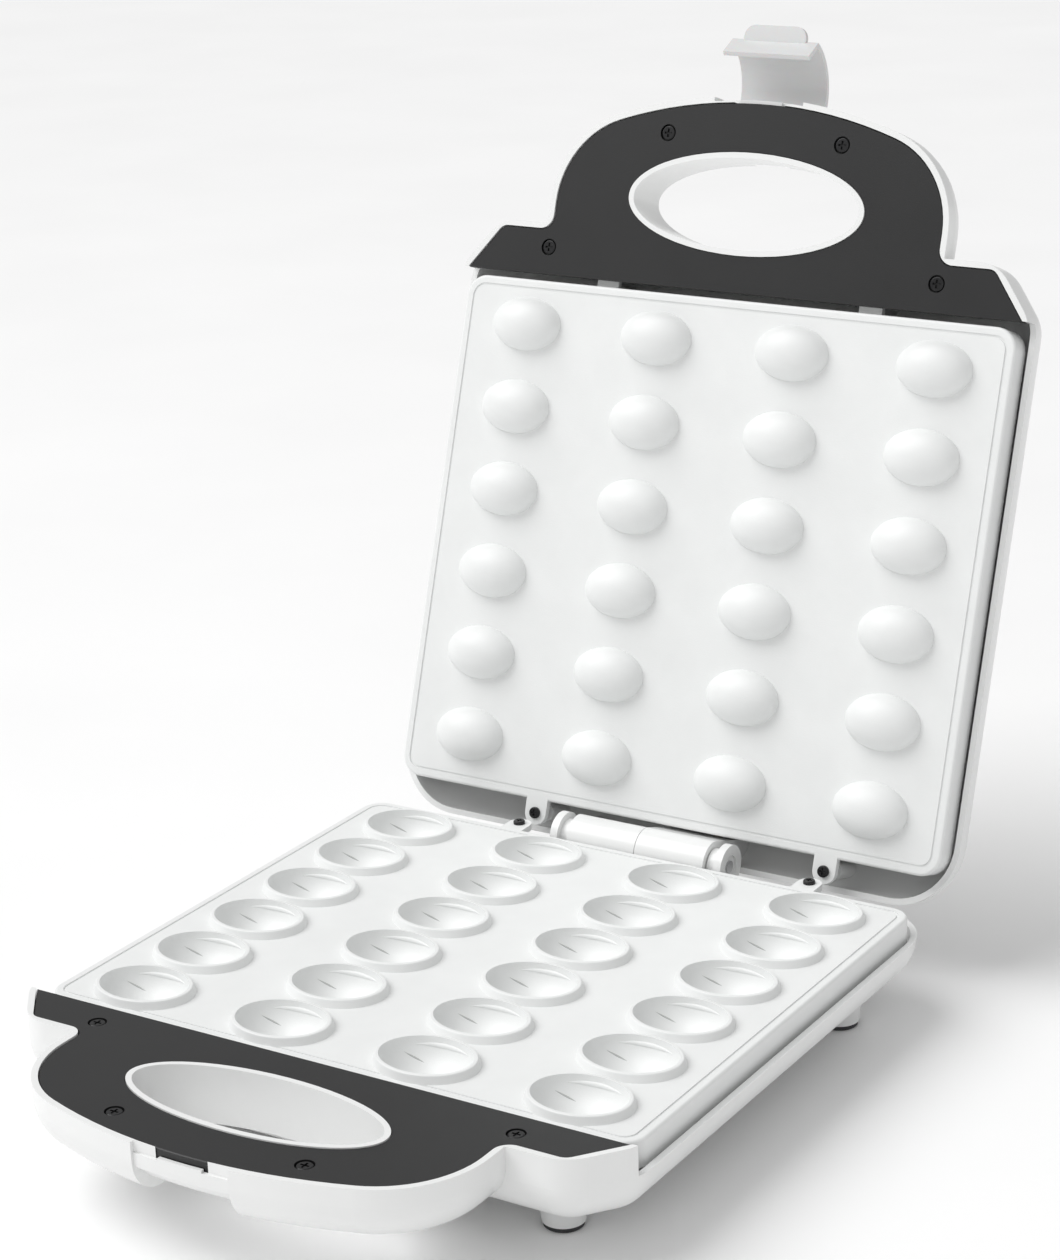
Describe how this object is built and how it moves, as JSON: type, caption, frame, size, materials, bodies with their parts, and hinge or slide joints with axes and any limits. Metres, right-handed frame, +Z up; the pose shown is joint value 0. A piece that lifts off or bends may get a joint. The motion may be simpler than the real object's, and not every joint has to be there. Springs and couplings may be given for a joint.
{
  "type": "hinged mould iron for walnut-shaped biscuits",
  "caption": "Electric baking iron that opens on a back hinge: oval moulds in the base plate, matching domes in the lid, loop handles and a front latch.",
  "frame": {"origin": "on the floor, under the middle of the open appliance's box", "axes": "+Z up, +Y from the handle to the hinge, +X to the right seen from the handle"},
  "size_m": [0.2582, 0.4326, 0.3542],
  "materials": {
    "housing_white": "satin",
    "plate_white": "white non-stick coating",
    "cover_grey": "satin",
    "screw_black": "black",
    "pad_rubber": "matte",
    "latch_white": "satin",
    "steel": "brushed",
    "bright_sheet": "bright",
    "ceramic": "unglazed",
    "wire_sleeve": "glass-fibre sleeve",
    "lamp_red": "translucent",
    "lamp_green": "translucent",
    "board": "circuit board"
  },
  "bodies": {
    "base": {"base_wiring": "wire_sleeve", "cord_inlet_bush": "pad_rubber", "foot_pad_front_left": "pad_rubber", "foot_pad_front_right": "pad_rubber", "foot_pad_rear_left": "pad_rubber", "foot_pad_rear_right": "pad_rubber", "hinge_pin_right": "steel", "lower_cover_screws": "screw_black", "lower_element_straps": "steel", "lower_handle_cover": "cover_grey", "lower_heating_element": "steel", "lower_housing": "housing_white", "lower_plate": "plate_white", "lower_plate_screws": "screw_black", "lower_reflector": "bright_sheet", "lower_reflector_screws": "steel", "lower_strap_screws": "steel", "terminal_block": "ceramic", "thermal_fuse": "wire_sleeve", "thermostat": "steel"},
    "lid": {"hinge_pin_left": "steel", "lamp_board": "board", "latch_pin": "steel", "lid_wiring": "wire_sleeve", "power_lamp": "lamp_red", "ready_lamp": "lamp_green", "upper_cover_screws": "screw_black", "upper_element_straps": "steel", "upper_handle_cover": "cover_grey", "upper_heating_element": "steel", "upper_housing": "housing_white", "upper_plate": "plate_white", "upper_plate_screws": "screw_black", "upper_reflector": "bright_sheet", "upper_reflector_screws": "steel", "upper_strap_screws": "steel"},
    "latch": {"latch": "latch_white"}
  },
  "joints": [
    {"name": "lid_hinge", "type": "hinge", "parent": "base", "child": "lid", "pos_m": [0, 0.08899, 0.0395], "axis": [1, 0, 0], "range_deg": [0, 108.6]},
    {"name": "latch_hinge", "type": "hinge", "parent": "lid", "child": "latch", "pos_m": [0, 0.20281, 0.3191], "axis": [1, 0, 0], "range_deg": [0, 57]}
  ]
}
